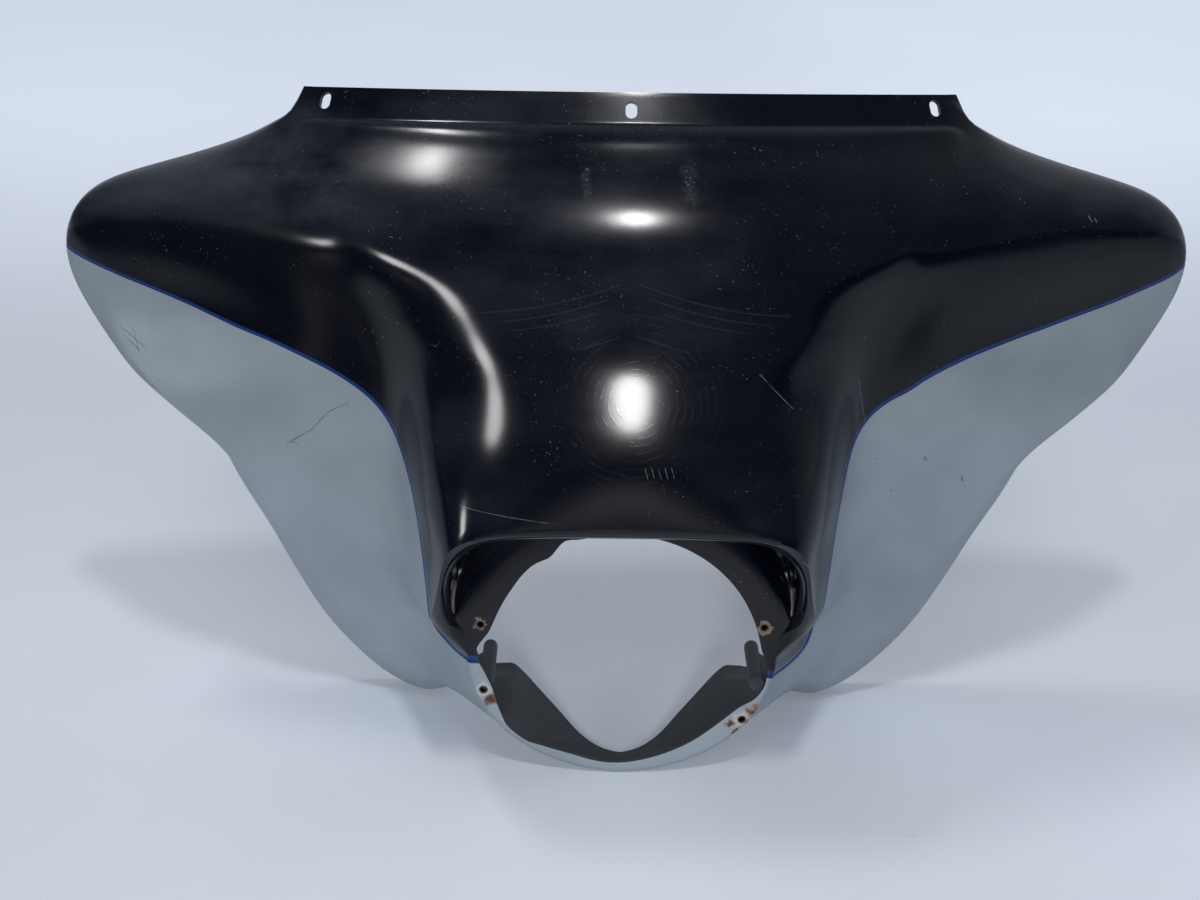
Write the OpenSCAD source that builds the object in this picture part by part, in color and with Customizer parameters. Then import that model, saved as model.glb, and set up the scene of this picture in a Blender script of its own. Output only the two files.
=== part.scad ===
// Outer front fairing of a touring motorcycle: one thin moulded shell with a hood, a nose
// over the headlamp opening, two swept wings, a windscreen flange along the top and a chin
// band under the lamp. Millimetres, +Z up, the front faces -Y, X runs across the machine.
// It stands on its chin and its two lower wing tips. The origin is on the ground, in the
// middle of the whole width and depth.

/* [Overall size] */
// Width over the two wing tips
overall_w = 820; // [740:2:900]
// Height from the ground to the top of the screen flange in the middle
overall_h = 503; // [450:1:560]
// Depth from the front of the nose to the rear edges
overall_d = 198; // [170:1:220]
// Thickness of the moulded wall
wall = 3.5; // [2.8:0.1:4.2]

/* [Headlamp opening] */
// Height of the centre of the lamp above the ground
lamp_z = 100; // [97:0.5:103]
// Diameter of the opening in the seat ring
lamp_d = 200; // [192:1:206]
// Outer diameter of the seat ring
seat_d = 256; // [250:1:260]
// Distance of the seat ring behind the front of the chin
seat_y = 8; // [5:0.5:11]
// Depth of the two pockets between the seat ring and the upper corners of the nose
pocket_h = 16; // [6:1:22]
// Width of the front lip of the chin band at the bottom
lip_w = 10; // [8:0.5:13]
// Radius of the rounded front edge of the chin band
lip_r = 4; // [3.8:0.1:4.6]

/* [Nose and hood] */
// How far the nose stands in front of the chin
nose_y = 68; // [60:1:76]
// Half width of the nose at its front corners
nose_w = 124; // [121:1:127]
// Steepness of the flanks between the nose and the wings
flank_k = 2.6; // [2:0.1:3]
// Softness of the rounded corner between the nose and its flanks
nose_r = 60; // [44:2:90]
// Softness of the ridge beside the nose, where the hood turns into the wing faces
ridge_r = 16; // [12:1:30]
// Softness of the same ridge out on the wings
wing_r = 56; // [40:2:70]
// Softness of the hollow between the nose and the wings
valley_r = 34; // [20:1:44]

/* [Wings] */
// Backward sweep of the wing faces where they leave the nose, as a slope
sweep_k = 0.17; // [0.1:0.01:0.22]
// Further backward bend of the wing faces between the nose and the wing tips
sweep_d = 24; // [12:1:30]
// Width of the rounded turn along the outer edge of the wings
roll_w = 40; // [28:1:50]
// Straight rear return after the turn
return_w = 6; // [3:0.5:9]

/* [Screen flange] */
// Height of the flange above its crease
flange_h = 23; // [20:0.5:27]
// Backward lean of the flange from upright
flange_tilt = 35; // [28:1:42]
// Depth of the step that sets the flange back from the hood
step_d = 14; // [9:0.5:16]
// Rise of that step
step_h = 8; // [6:0.5:11]
// Half length of the flange along its top edge, across the machine
flange_x = 228; // [220:1:234]
// Distance of the outer slots from the middle, across the machine
slot_x = 212; // [200:1:214]
// Width of the three slots
slot_w = 8; // [6:0.5:9]
// Length of the three slots
slot_l = 12; // [10:0.5:14]

/* [Lamp fixings] */
// Place of the four screw inserts between the edge of the opening and that of the seat ring
insert_at = 0.25; // [0.22:0.01:0.32]
// Outer diameter of a screw insert
insert_d = 6.6; // [6:0.1:7]
// Bore of a screw insert
insert_bore = 4.2; // [3.4:0.1:4.4]
// Length of a screw insert
insert_l = 10; // [8:0.5:12]
// Diameter of the boss behind an insert
boss_d = 10.5; // [10:0.5:12]
// Length of the boss behind an insert
boss_l = 16; // [13:1:20]
// Diameter of the two rear posts
post_d = 11; // [9:0.5:13]
// Distance from the seat ring to the rear end of a post
post_l = 58; // [48:1:66]

/* [Hidden] */

// Softening: larger or smaller of two heights with a rounded turn between them.
function soft_max(a, b, k) = max(a, b) + pow(max(k - abs(a - b), 0), 2) / (4 * k);
function soft_min(a, b, k) = min(a, b) - pow(max(k - abs(a - b), 0), 2) / (4 * k);

// Smooth curve through stations [position, value]; the value may be a number or a point.
function span(k, a, i = 0) = (i >= len(k) - 2 || a < k[i + 1][0]) ? i : span(k, a, i + 1);
function tangent(k, i) =
    let(p = max(i - 1, 0), q = min(i + 1, len(k) - 1))
    (k[q][1] - k[p][1]) / (k[q][0] - k[p][0]);
function curve(k, a) =
    let(i = span(k, a), h = k[i + 1][0] - k[i][0], t = (a - k[i][0]) / h)
    a <= k[0][0] ? k[0][1] :
    a >= k[len(k) - 1][0] ? k[len(k) - 1][1] :
    k[i][1] * (2 * t * t * t - 3 * t * t + 1) + tangent(k, i) * h * (t * t * t - 2 * t * t + t)
    + k[i + 1][1] * (3 * t * t - 2 * t * t * t) + tangent(k, i + 1) * h * (t * t * t - t * t);

// Forms as heights y over the front view (x, z); a larger y is further back.
// Middle line of the nose and hood.
hood_line = [[236, -66], [250, -67.5], [270, -66], [290, -63], [312, -57.8], [330, -52.3], [350, -45.5],
             [380, -31], [408, -13.2], [428, 1.6], [436, 8.3], [444, 16.5], [456, 30.3], [473, 50.5],
             [490, 71], [510, 96]];
// How strongly the hood falls away sideways at each height.
hood_bow = [[236, 1], [270, 7], [300, 12.5], [330, 14], [360, 13], [390, 10.5],
            [420, 9], [450, 9], [476, 10.7], [520, 10.7]];
function bow(x) = x < 220 ? x * x / 10000 : 4.84 + 0.044 * (x - 220) - pow(x - 220, 2) * 0.00007;
function hood(x, z) = curve(hood_line, z) * nose_y / 68 + curve(hood_bow, z) * bow(x);
// Half width of the nose at each height, and the height y of its corner below the eyebrow.
nose_half = [[0, 60], [20, 82], [40, 97], [55, 105], [70, 111], [86, 114.5], [96, 116], [104, 121],
             [114, 131], [127, 137], [142, 138], [162, 134], [184, 130], [205, 126],
             [222, 124], [240, 124], [270, 127], [310, 131], [350, 136], [386, 144],
             [410, 200], [430, 320], [520, 460]];
corner_y = [[0, 6], [40, 9], [70, 11], [96, 12], [104, 12], [114, 10], [127, 2], [142, -12],
            [162, -29], [184, -44], [205, -55], [222, -62], [240, -68]];
flank_slope = [[0, 1.5], [40, 1.5], [85, 1.6], [110, 1.9], [142, 2.4], [240, 2.6], [300, 2.4],
               [340, 1.9], [365, 1.4], [386, 0.95], [400, 0.7], [415, 0.55], [430, 0.5]];
function half(z) = curve(nose_half, z) * (z > 150 ? nose_w / 124 : 1);
function flank(x, z) =
    (z < 240 ? curve(corner_y, z) : hood(half(z), z))
    + curve(flank_slope, z) * flank_k / 2.6 * (x - half(z));
// Wing faces.
wing_line = [[0, 104], [20, 98], [60, 88], [110, 72], [142, 60], [180, 50], [235, 38],
             [300, 29], [350, 26], [400, 25], [520, 25]];
function wing(x, z) =
    let(out = x - 160) curve(wing_line, z) + sweep_k * out + sweep_d * out * abs(out) / pow(210, 2);
// Softness of the outer turn: wide round the nose, tight on the ridge beside it, wide on the wings.
function turn_r(x, z) =
    let(t = min(1, max(0, (x - 126) / 59)))
    mix(curve([[330, nose_r], [385, nose_r * 2 / 3], [415, ridge_r]], z),
        curve([[225, ridge_r], [340, wing_r]], x), t * t * (3 - 2 * t));
function face(x, z) = soft_max(hood(x, z), soft_min(flank(x, z), wing(x, z), valley_r), turn_r(x, z));

// Guide curves round the lamp opening. The position along each curve runs from 0 above the
// lamp to 180 below it. Points are [x, y, z].
// Outer corner of the rim round the opening.
rim_corner = [[0, [0, -66, 240]], [14, [36, -67, 240]], [24, [62, -67.5, 239.5]],
              [33, [89, -68, 238]], [39, [108, -67, 233]], [44, [120, -63, 223]],
              [50, [125.5, -55, 205]], [57, [129.5, -44, 184]], [65, [134, -29, 162.5]],
              [73, [138, -12, 142]], [79, [137, 2, 127]], [84, [131, 10, 114]],
              [88, [122, 12.5, 104]], [92, [115.5, 13, 96]]];
// Inner edge of the rim, where its wall turns back to the seat.
rim_inner = [[0, [0, -52, 229]], [20, [47, -52, 229]], [31, [79, -50, 226]],
             [38, [97, -48, 220]], [45, [111, -44, 208]], [51, [119, -38, 193]],
             [58, [122, -30, 177]], [67, [124, -16, 153]], [75, [124, -2, 134]],
             [81, [121, 5, 121]], [86, [115.5, 8, 109]], [92, [111, 8, 97]]];
// Outline of the whole shell, seen from the front.
outline = [[32.5, [238, 112, 476]], [38, [270, 118, 458]], [44, [310, 122, 443]],
           [49, [353, 124, 430]], [52.5, [380, 124, 420]], [55.5, [398, 124, 406]],
           [58, [407, 124, 389]], [60.5, [410, 124, 372]], [63.5, [408, 124, 352]],
           [67, [400, 124, 330]], [70.5, [388, 124, 309]], [73.5, [372, 124, 293]],
           [76.5, [353, 124, 278]], [79.5, [330, 124, 262]], [82.5, [310.5, 124, 242.5]],
           [86, [299, 124, 212]], [93, [276, 124, 162]], [99, [261, 124, 122]],
           [105.5, [242, 124, 79]], [111, [222, 124, 48]], [117, [192, 124, 16]],
           [121, [167, 124, 1.5]], [124, [150, 124, 0]]];
// Outer radius and front of the chin band, and its rear edge.
function chin_r(a) = 115.3 - 15.3 * pow(cos(a), 2);
function chin_y(a) = seat_y * (180 - a) / 88;
chin_back = [[126.5, 100], [134, 97], [142, 86], [152, 67], [162, 43], [171, 29], [180, 23]];
// Edge of the opening: one side follows the worn, hand-trimmed line of the left half.
open_right = [[0, 0], [60, 0], [87, 3], [92, 7], [100, 9.5], [105, 9], [110, 6], [116, -1.5],
              [127, -7], [139, -9.5], [160, -11], [180, -10]];
open_left = [[0, 0], [18, 1], [24, 4], [29, 0], [33, -3], [40, -1], [46, -1], [56, -2.5],
             [68, -2.5], [79, -0.5], [86, 6], [91, 9], [96, 4.5], [105, 0.5], [113, 1.5],
             [121, 3.5], [129, 6], [134, 5], [141, -1.5], [155, -8], [170, -9], [180, -10]];
function open_r(a, side) =
    lamp_d / 2 + curve(side > 0 ? open_right : open_left, a)
    + (a > 120 ? (10 - lip_w) * (a - 120) / 60 : 0);

function polar(r, a, y) = [r * sin(a), y, lamp_z + r * cos(a)];
function mix(p, q, t) = p * (1 - t) + q * t;

// Screen flange: its top edge arcs back and down towards its ends.
function flange_top(x) = [x, 76 + 0.0008 * x * x, 503 - 0.00017 * x * x];
function flange_dir(x) = [0, sin(flange_tilt), cos(flange_tilt)];
function edge_out(a) =
    a <= 30.5 ? flange_top(flange_x * a / 30) :
    a <= 124.5 ? curve(outline, a) : polar(chin_r(a), a, curve(chin_back, a));
// Front edge of the step below the flange; the step gets smaller towards the ends.
function step_edge(a) = edge_in(a) - [0, step_d, step_h] * (1 - 0.4 * pow(a / 30, 2));
// Where the crease or the outer turn begins.
function turn_w(a) = curve([[32.5, 18], [44, 26], [56, 34], [62, 40], [72, 38], [90, 30],
                            [110, 24], [124, 12]], a) * roll_w / 40;
function edge_in(a) =
    a <= 30.5 ? flange_top(flange_x * a / 30) - flange_h * flange_dir(0) :
    let(o = edge_out(a), c = curve(rim_corner, min(a, 92)), d = [o[0] - c[0], 0, o[2] - c[2]])
    o - d / norm(d) * turn_w(a);
function corner(a) =
    a <= 92 ? curve(rim_corner, a) : polar(chin_r(a), a, chin_y(a) + lip_r);

// Counts of stations: inner part, corner to hollow, hollow to turn, turn, return.
n_in = 9;
n_mid = 6;
n_far = 9;
n_turn = 5;
n_all = n_in + n_mid + n_far + n_turn + 1;

// One ray of the outer surface at position a, from the opening out to the rim.
function seat_part(a, side) =
    let(r1 = chin_r(a))
    a <= 92 ?
        let(l = curve(rim_inner, a), c = corner(a), rl = norm([l[0], l[2] - lamp_z]),
            la = atan2(l[0], l[2] - lamp_z),
            dp = pocket_h * max(0, min(1, (rl - seat_d / 2) / 12)),
            step = seat_y + dp - min(l[1], seat_y),
            wl = max(0.5, min(2.5 + 1.2 * step, 6 - 0.8 * step)), rp = rl - wl,
            rs = min(seat_d / 2, rp + 1) - 2, r0 = min(open_r(a, side), rs - 2))
        [polar(r0, a, seat_y),
         polar(mix(r0, rs, 0.6), mix(a, la, 0.6), seat_y),
         polar(rs, la, seat_y + 0.04 * dp),
         polar(min(rs + 3.5, mix(rs, rp, 0.4)), la, seat_y + 0.45 * dp),
         polar(min(rs + 6, mix(rs, rp, 0.75)), la, seat_y + 0.9 * dp),
         polar(rp, la, seat_y + dp),
         polar(rl - wl * 0.4 + 0.2, la, mix(min(l[1], seat_y), seat_y + dp, 0.45)),
         [l[0], min(l[1], seat_y), l[2]],
         mix([l[0], min(l[1], seat_y), l[2]], c, 0.5) - [0, min(2.5, norm(c - l) * 0.2), 0]] :
        let(y0 = chin_y(a), re = r1 - lip_r, r0 = min(open_r(a, side), re - 1))
        concat([for (t = [0 : 0.25 : 1]) polar(mix(r0, re, t), a, y0)],
               [for (u = [22.5 : 22.5 : 67.5])
                    polar(re + lip_r * sin(u), a, y0 + lip_r * (1 - cos(u)))],
               [polar(re + lip_r * sin(80), a, y0 + lip_r * (1 - cos(80)))]);
hollow_at = [[0, 0.4], [22, 0.4], [30, 0.44], [36, 0.36], [41, 0.26], [46, 0.18], [52, 0.14],
             [60, 0.125], [72, 0.125], [80, 0.16], [88, 0.27]];
hollow_x = [[20, 150], [60, 158], [120, 168], [142, 166], [235, 160], [330, 153], [520, 153]];
function outer_part(a) =
    let(c = corner(a), k = edge_in(a), m = a < 30.5 ? step_edge(a) : k, e = edge_out(a))
    a > 124.5 ? [for (j = [0 : n_mid + n_far + n_turn + 1]) mix(c, e, j / (n_mid + n_far + n_turn + 1))] :
    let(hx = curve(hollow_x, c[2] + 20),
        f = a < 88 ? curve(hollow_at, a) : max(0.1, min(0.6, (hx - c[0]) / (m[0] - c[0]))),
        off_c = c[1] - face(c[0], c[2]),
        off_m = a < 30.5 ? m[1] - face(m[0], m[2]) : 0,
        off_e = a < 30.5 ? 0 : e[1] - face(e[0], e[2]))
    concat(
        [for (j = [0 : n_mid + n_far - 1])
            let(s = j <= n_mid ? f * j / n_mid : f + (1 - f) * (j - n_mid) / n_far,
                x = mix(c[0], m[0], s), z = mix(c[2], m[2], s))
            [x, face(x, z) + off_c * pow(max(0, 1 - s / f), 2) + off_m * pow(s, 4), z]],
        a < 30.5 ?
            concat([m, mix(m, k, 0.5) - [0, 0.8, -0.8]], [for (j = [2 : n_turn + 1]) mix(k, e, (j - 2) / (n_turn - 1))]) :
            [for (j = [0 : n_turn + 1])
                let(u = min(j, n_turn) / n_turn * 90, x = mix(m[0], e[0], sin(u)),
                    z = mix(m[2], e[2], sin(u)))
                [x, face(x, z) + off_e * (1 - cos(u)) + (j > n_turn ? return_w : 0), z]]);

// Positions of the rays on one half: along the flange, round the wing, round the chin.
n_flange = 8;
n_wing = 27;
n_chin = 11;
half_rays = concat([for (i = [0 : n_flange - 1]) 30 * i / (n_flange - 1)],
                   [for (i = [0 : n_wing - 1]) 32.5 + 91.5 * i / (n_wing - 1)],
                   [for (i = [0 : n_chin - 1]) 126.5 + 53.5 * i / (n_chin - 1)]);
n_half = len(half_rays) - 1;
n_ray = 2 * n_half;

// The design is laid out at its nominal size and then stretched to the driving sizes, with
// the lamp area kept as it is.
function stretch(p) =
    let(kx = (overall_w / 2 - 150) / (410 - 150), kz = (overall_h - 240) / (503 - 240),
        x = abs(p[0]) < 150 ? p[0] : sign(p[0]) * (150 + (abs(p[0]) - 150) * kx),
        z = p[2] < 240 ? p[2] : 240 + (p[2] - 240) * kz,
        y = p[1] < 20 ? p[1] : 20 + (p[1] - 20) * (overall_d - nose_y - 20) / 110)
    [x, y, z];
function ray(i) =
    let(a = half_rays[i <= n_half ? i : n_ray - i], side = i <= n_half ? 1 : -1,
        pts = concat(seat_part(a, side), outer_part(a)))
    [for (p = pts) stretch([side * p[0], p[1], p[2]])];
// Fairing passes: each free point of the hood, nose and wings moves towards its neighbours.
n_sta = n_all + 1;
function wrap(g, i, j) = g[(i + n_ray) % n_ray][j];
function fixed(i, j) =
    let(h = i <= n_half ? i : n_ray - i)
    h >= n_flange + n_wing || j <= n_in || j >= (h <= n_flange ? n_in + n_mid + n_far : n_sta - 5);
function relax(g, n) = n == 0 ? g : relax([for (i = [0 : n_ray - 1]) [for (j = [0 : n_sta - 1])
    fixed(i, j) ? g[i][j] :
    g[i][j] * 0.4 + (wrap(g, i - 1, j) + wrap(g, i + 1, j) + g[i][j - 1] + g[i][j + 1]) * 0.15]],
    n - 1);
outer_grid = relax([for (i = [0 : n_ray - 1]) ray(i)], 4);

function unit(v) = v / max(norm(v), 0.000001);

// Inner surface: every point moved along the local normal by the wall thickness.
function at(g, i, j) = g[(i + n_ray) % n_ray][max(0, min(n_sta - 1, j))];
function normal(g, i, j) =
    let(p = at(g, i, j), u = unit(at(g, i + 1, j) - p) + unit(p - at(g, i - 1, j)),
        v = unit(at(g, i, j + 1) - p) + unit(p - at(g, i, j - 1)))
    unit(cross(v, u));
inner_grid = [for (i = [0 : n_ray - 1]) [for (j = [0 : n_sta - 1])
    outer_grid[i][j] + wall * normal(outer_grid, i, j)]];

y_mid = (overall_d - 2 * nose_y) / 2;
insert_ring = (lamp_d + (seat_d - lamp_d) * insert_at) / 2;

module skin() {
    pts = concat([for (r = outer_grid) each r], [for (r = inner_grid) each r]);
    n = n_ray * n_sta;
    faces = concat(
        [for (i = [0 : n_ray - 1], j = [0 : n_sta - 2])
            let(a = i * n_sta + j, b = ((i + 1) % n_ray) * n_sta + j)
            each norm(pts[a] - pts[b + 1]) < norm(pts[b] - pts[a + 1]) ?
                [[a, b + 1, b], [a, a + 1, b + 1]] : [[a, a + 1, b], [b, a + 1, b + 1]]],
        [for (i = [0 : n_ray - 1], j = [0 : n_sta - 2])
            let(a = n + i * n_sta + j, b = n + ((i + 1) % n_ray) * n_sta + j)
            each norm(pts[a] - pts[b + 1]) < norm(pts[b] - pts[a + 1]) ?
                [[a, b, b + 1], [a, b + 1, a + 1]] : [[a, b, a + 1], [b, b + 1, a + 1]]],
        [for (i = [0 : n_ray - 1])
            let(a = i * n_sta, b = ((i + 1) % n_ray) * n_sta)
            each [[a, b + n, a + n], [a, b, b + n]]],
        [for (i = [0 : n_ray - 1])
            let(a = i * n_sta + n_sta - 1, b = ((i + 1) % n_ray) * n_sta + n_sta - 1)
            each [[a, a + n, b + n], [a, b + n, b]]]);
    polyhedron(pts, faces, convexity = 12);
}

// Screw inserts: angle from the top of the lamp, distance from its centre.
inserts = [[76.5, 0], [-76.5, 0], [120.5, -1.5], [-106.5, 0]];
function insert_y(a) = abs(a) < 92 ? seat_y : chin_y(abs(a));
module at_inserts() {
    for (s = inserts)
        translate(polar(insert_ring + s[1], s[0], insert_y(s[0]))) rotate([-90, 0, 0]) children();
}
// Two rear posts with rounded ends, each joined to the chin wall by a gusset.
posts = [[103.5, 103.5], [-104.5, 103.5]];
module post(a, r) {
    translate(polar(r, a, seat_y + 1)) rotate([-90, 0, 0]) {
        cylinder(d = post_d, h = post_l - post_d / 2 - 1, $fn = 48);
        translate([0, 0, post_l - post_d / 2 - 1]) sphere(d = post_d, $fn = 48);
    }
    translate([0, 0, lamp_z]) rotate([0, a, 0]) rotate([90, 0, 90])
        translate([0, 0, -2.5]) linear_extrude(5)
            polygon([[seat_y + 2, r], [seat_y + 2, chin_r(a) - 3], [seat_y + 6, chin_r(a) - 1.8],
                     [seat_y + 30, chin_r(a) + 14], [seat_y + post_l - 12, r]]);
}
// One slot, square to the leaning flange.
module slot(x, down) {
    translate(stretch(flange_top(x) - down * flange_dir(x))) rotate([0, 0, atan(0.0016 * x)])
        rotate([90 - flange_tilt, 0, 0]) {
            for (s = [-1, 1])
                translate([0, s * (slot_l - slot_w) / 2, -12]) cylinder(d = slot_w, h = 24, $fn = 48);
            translate([-slot_w / 2, -(slot_l - slot_w) / 2, -12]) cube([slot_w, slot_l - slot_w, 24]);
        }
}

module shell() {
    color("#1c1d20") translate([0, -y_mid, 0]) difference() {
        union() {
            skin();
            at_inserts() translate([0, 0, 1]) cylinder(d = boss_d, h = wall + boss_l - 1, $fn = 48);
            for (p = posts) post(p[0], p[1]);
        }
        for (x = [-slot_x, slot_x]) slot(x, 10);
        slot(0, 12.5);
        at_inserts() translate([0, 0, -1]) cylinder(d = insert_d, h = insert_l + 1, $fn = 48);
        at_inserts() translate([0, 0, insert_l - 1])
            cylinder(d = insert_bore + 0.4, h = boss_l - insert_l - 1, $fn = 48);
    }
}
module screw_inserts() {
    color("#9a8f78") translate([0, -y_mid, 0]) at_inserts() rotate_extrude($fn = 48)
        polygon([[insert_bore / 2, 0.4], [insert_bore / 2 + 0.4, 0], [insert_d / 2, 0],
                 [insert_d / 2, insert_l], [insert_bore / 2, insert_l]]);
}

shell();
screw_inserts();
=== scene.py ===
"""Looks of a touring motorcycle's outer front fairing, laid out as a Blender add-on.

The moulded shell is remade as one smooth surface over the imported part, with its two-tone paint,
the stripe between the colours, the raw inside, scratches, scuffs and rust. Run it as a script. In
the frame lengths are in metres, +Z is up and the front of the fairing faces -Y.
"""

import math

import bpy
import numpy as np
from bpy.props import FloatProperty, FloatVectorProperty, IntProperty, PointerProperty
from bpy.types import Operator, Panel, PropertyGroup
from mathutils import Matrix, Vector


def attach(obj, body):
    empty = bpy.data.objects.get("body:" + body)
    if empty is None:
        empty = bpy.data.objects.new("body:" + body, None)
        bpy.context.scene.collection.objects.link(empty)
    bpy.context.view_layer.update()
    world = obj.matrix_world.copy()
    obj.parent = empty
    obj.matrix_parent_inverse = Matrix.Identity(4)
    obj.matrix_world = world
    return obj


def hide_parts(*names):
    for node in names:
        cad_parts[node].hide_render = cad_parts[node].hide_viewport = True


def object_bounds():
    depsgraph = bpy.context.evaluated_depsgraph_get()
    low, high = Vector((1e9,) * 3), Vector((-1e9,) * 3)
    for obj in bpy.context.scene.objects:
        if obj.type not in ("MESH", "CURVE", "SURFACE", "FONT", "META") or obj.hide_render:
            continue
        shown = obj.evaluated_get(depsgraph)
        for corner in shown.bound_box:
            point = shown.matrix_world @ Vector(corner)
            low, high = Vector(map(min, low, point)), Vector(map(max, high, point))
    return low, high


bl_info = {
    "name": "Touring fairing",
    "version": (1, 0, 0),
    "blender": (4, 5, 0),
    "location": "3D View > Sidebar > Fairing",
    "description": "Dresses the moulded front fairing with its paint, wear and studio",
    "category": "Object",
}

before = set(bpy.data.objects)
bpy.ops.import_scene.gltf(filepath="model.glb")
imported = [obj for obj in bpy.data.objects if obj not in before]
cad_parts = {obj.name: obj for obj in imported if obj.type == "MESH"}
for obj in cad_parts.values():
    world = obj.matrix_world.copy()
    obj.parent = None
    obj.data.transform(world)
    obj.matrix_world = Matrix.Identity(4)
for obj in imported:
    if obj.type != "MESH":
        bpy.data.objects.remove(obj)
LOW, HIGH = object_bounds()
SPAN = HIGH - LOW


# ---- Sizes and colours that a user would change ----


class FairingSizes(PropertyGroup):
    """Sizes of the fairing and its paint."""

    width: FloatProperty(
        name="Width",
        description="Over the two wing tips",
        default=SPAN.x,
        unit="LENGTH",
    )
    height: FloatProperty(
        name="Height",
        description="From the ground to the top of the screen flange",
        default=SPAN.z,
        unit="LENGTH",
    )
    depth: FloatProperty(
        name="Depth",
        description="From the nose to the rear edges",
        default=0.198,
        unit="LENGTH",
    )
    wall: FloatProperty(
        name="Wall",
        description="Thickness of the moulding",
        default=0.0035,
        unit="LENGTH",
    )
    stripe: FloatProperty(
        name="Stripe",
        description="Width of the stripe between the two paints",
        default=0.0028,
        unit="LENGTH",
    )
    refine: IntProperty(
        name="Refine",
        description="Subdivision of the shell's surface",
        default=1,
        min=1,
        max=2,
    )


class FairingColours(PropertyGroup):
    """Colours of the paints, the plastic and the studio."""

    black: FloatVectorProperty(
        name="Upper paint",
        description="Gloss black",
        subtype="COLOR",
        size=3,
        default=(0.0006, 0.0014, 0.0055),
    )
    silver: FloatVectorProperty(
        name="Lower paint",
        description="Satin silver-grey",
        subtype="COLOR",
        size=3,
        default=(0.35, 0.405, 0.455),
    )
    blue: FloatVectorProperty(
        name="Stripe",
        description="Blue between the paints",
        subtype="COLOR",
        size=3,
        default=(0.008, 0.04, 0.17),
    )
    plastic: FloatVectorProperty(
        name="Raw plastic",
        description="Unpainted inside",
        subtype="COLOR",
        size=3,
        default=(0.024, 0.029, 0.036),
    )
    rust: FloatVectorProperty(
        name="Rust",
        description="Stain round the inserts",
        subtype="COLOR",
        size=3,
        default=(0.45, 0.17, 0.04),
    )
    primer: FloatVectorProperty(
        name="Primer",
        description="Bare ring where the paint has come off",
        subtype="COLOR",
        size=3,
        default=(0.52, 0.52, 0.5),
    )
    metal: FloatVectorProperty(
        name="Inserts",
        description="Dull metal of the thread inserts",
        subtype="COLOR",
        size=3,
        default=(0.07, 0.06, 0.05),
    )
    floor: FloatVectorProperty(
        name="Floor",
        description="Pale studio floor",
        subtype="COLOR",
        size=3,
        default=(0.8, 0.855, 0.93),
    )


# ---- The shell's form, in millimetres, as the part lays it out ----

# x is sideways, y back from the front of the chin and z up from the ground. Rays run out from the
# middle of the lamp opening, at an angle in degrees from straight up.
MID_Y = 31.0  # from the front of the chin back to the frame's origin
LAMP_Z = 100.0
OPENING_R = 100
SEAT_R = 128.0
SEAT_Y = 8.0
LIP_R = 4.0
POCKET_DEPTH, POCKET_RUN = 16, 12  # beside the seat, and how far out it takes to get there
FLANGE_X, FLANGE_H = 228.0, 23
FLANGE_BOW, FLANGE_TILT = 0.0008, 35
STEP_D, STEP_H = 14.0, 8.0  # of the step between hood and flange
TURN_BACK = 6  # straight length of the outer edge, behind its turn
BOW_END = 220  # the hood's bow straightens past this x
NOSE_X = 122  # the nose is rounded up to this x
WING_MID, WING_SLOPE, WING_BEND = 160, 0.17, 0.00055  # the wing's line is drawn at this x
RIDGE_START, RIDGE_END = 126, 185  # from the nose's turn to the ridge's turn
VALLEY_TURN = 34
FLANGE_END, WING_START, WING_END, CHIN_START = 30, 32.5, 124.0, 126.5  # angles of rays
ON_FLANGE, ON_WING, ON_RIM, BESIDE_LAMP = 30.5, 124.5, 92, 88  # last angle of each stretch
N_FLANGE, N_WING, N_CHIN = 14, 52, 20  # rays of each stretch
N_IN, N_MID, N_FAR, N_TURN, N_STEP = 9, 10, 24, 9, 4  # stations on a ray
# A new width, depth or height moves only what is past these.
FIXED_X, FIXED_Y, FIXED_Z = 150, 20, 240
TIP_X, FRONT_Y, BACK_Y, TOP_Z = 410, -68, 130, 503

# Knots [position, value]. The position is a height z, a distance x or the angle of a ray.
HOOD_LINE = [
    [236, -66], [250, -67.5], [270, -66], [290, -63], [312, -57.8], [330, -52.3], [350, -45.5],
    [380, -31], [408, -13.2], [428, 1.6], [436, 8.3], [444, 16.5], [456, 30.3], [473, 50.5],
    [490, 71], [510, 96],
]
HOOD_BOW = [
    [236, 1], [270, 7], [300, 12.5], [330, 14], [360, 13], [390, 10.5], [420, 9], [450, 9],
    [476, 10.7], [520, 10.7],
]
NOSE_ROUND = [[240, 2.4], [268, 4.6], [295, 6.6], [325, 6.6], [362, 2.2], [395, 0]]
NOSE_TURN = [[318, 48], [350, 50], [385, 40], [415, 16]]
RIDGE_TURN = [[225, 16], [340, 56]]
NOSE_HALF = [
    [0, 60], [20, 82], [40, 97], [55, 105], [70, 111], [86, 114.5], [96, 116], [104, 121],
    [114, 131], [127, 137], [142, 138], [162, 134], [184, 130], [205, 126], [222, 124],
    [240, 124], [270, 127], [310, 131], [350, 136], [386, 144], [410, 200], [430, 320],
    [520, 460],
]
CORNER_Y = [
    [0, 6], [40, 9], [70, 11], [96, 12], [104, 12], [114, 10], [127, 2], [142, -12], [162, -29],
    [184, -44], [205, -55], [222, -62], [240, -68],
]
FLANK_SLOPE = [
    [0, 1.5], [40, 1.5], [85, 1.6], [110, 1.9], [142, 2.4], [240, 2.6], [300, 2.4], [340, 1.9],
    [365, 1.4], [386, 0.95], [400, 0.7], [415, 0.55], [430, 0.5],
]
WING_LINE = [
    [0, 104], [20, 98], [60, 88], [110, 72], [142, 60], [180, 50], [235, 38], [300, 29],
    [350, 26], [400, 25], [520, 25],
]
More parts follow.
